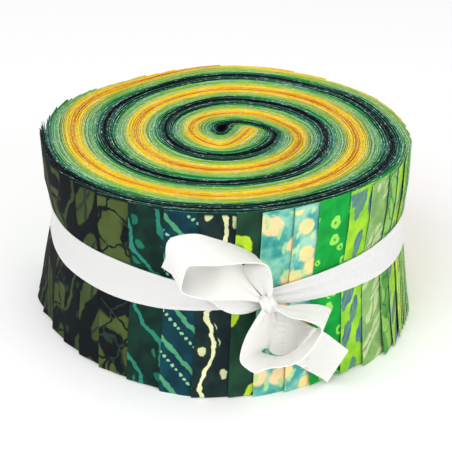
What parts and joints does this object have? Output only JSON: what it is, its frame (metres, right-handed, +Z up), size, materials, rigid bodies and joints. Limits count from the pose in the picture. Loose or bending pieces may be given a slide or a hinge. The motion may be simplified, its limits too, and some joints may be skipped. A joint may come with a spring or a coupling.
{
  "type": "roll of precut cotton fabric strips tied with a ribbon",
  "caption": "Stack of printed cotton strips folded in half, wound into a flat round roll and tied with a ribbon bow.",
  "frame": {"origin": "bottom centre of the whole object's box, on the surface that it rests on", "axes": "+Z up along the axis of the roll, -Y towards the front where the bow is, +X to the right of the bow"},
  "size_m": [0.1328, 0.1494, 0.0635],
  "materials": {
    "wound_cotton": "matt woven cotton",
    "cotton_black_green": "matt printed cotton",
    "cotton_forest": "matt printed cotton",
    "cotton_aqua": "matt printed cotton",
    "cotton_green": "matt printed cotton",
    "cotton_lime": "matt printed cotton",
    "cotton_yellow": "matt printed cotton",
    "cotton_orange": "matt printed cotton",
    "ribbon": "soft woven ribbon"
  },
  "bodies": {
    "root": {"roll": "wound_cotton", "strip_end_01": "cotton_black_green", "strip_end_02": "cotton_black_green", "strip_end_03": "cotton_black_green", "strip_end_04": "cotton_black_green", "strip_end_05": "cotton_black_green", "strip_end_06": "cotton_black_green", "strip_end_07": "cotton_forest", "strip_end_08": "cotton_forest", "strip_end_09": "cotton_forest", "strip_end_10": "cotton_forest", "strip_end_11": "cotton_aqua", "strip_end_12": "cotton_aqua", "strip_end_13": "cotton_green", "strip_end_14": "cotton_green", "strip_end_15": "cotton_green", "strip_end_16": "cotton_green", "strip_end_17": "cotton_lime", "strip_end_18": "cotton_lime", "strip_end_19": "cotton_lime", "strip_end_20": "cotton_lime", "strip_end_21": "cotton_yellow", "strip_end_22": "cotton_yellow", "strip_end_23": "cotton_yellow", "strip_end_24": "cotton_yellow", "strip_end_25": "cotton_yellow", "strip_end_26": "cotton_yellow", "strip_end_27": "cotton_orange", "strip_end_28": "cotton_orange", "strip_end_29": "cotton_orange", "strip_end_30": "cotton_orange", "strip_end_31": "cotton_orange", "strip_end_32": "cotton_orange", "strip_end_33": "cotton_yellow", "strip_end_34": "cotton_yellow", "strip_end_35": "cotton_black_green", "strip_end_36": "cotton_black_green", "strip_end_37": "cotton_black_green", "ribbon": "ribbon"}
  },
  "joints": []
}
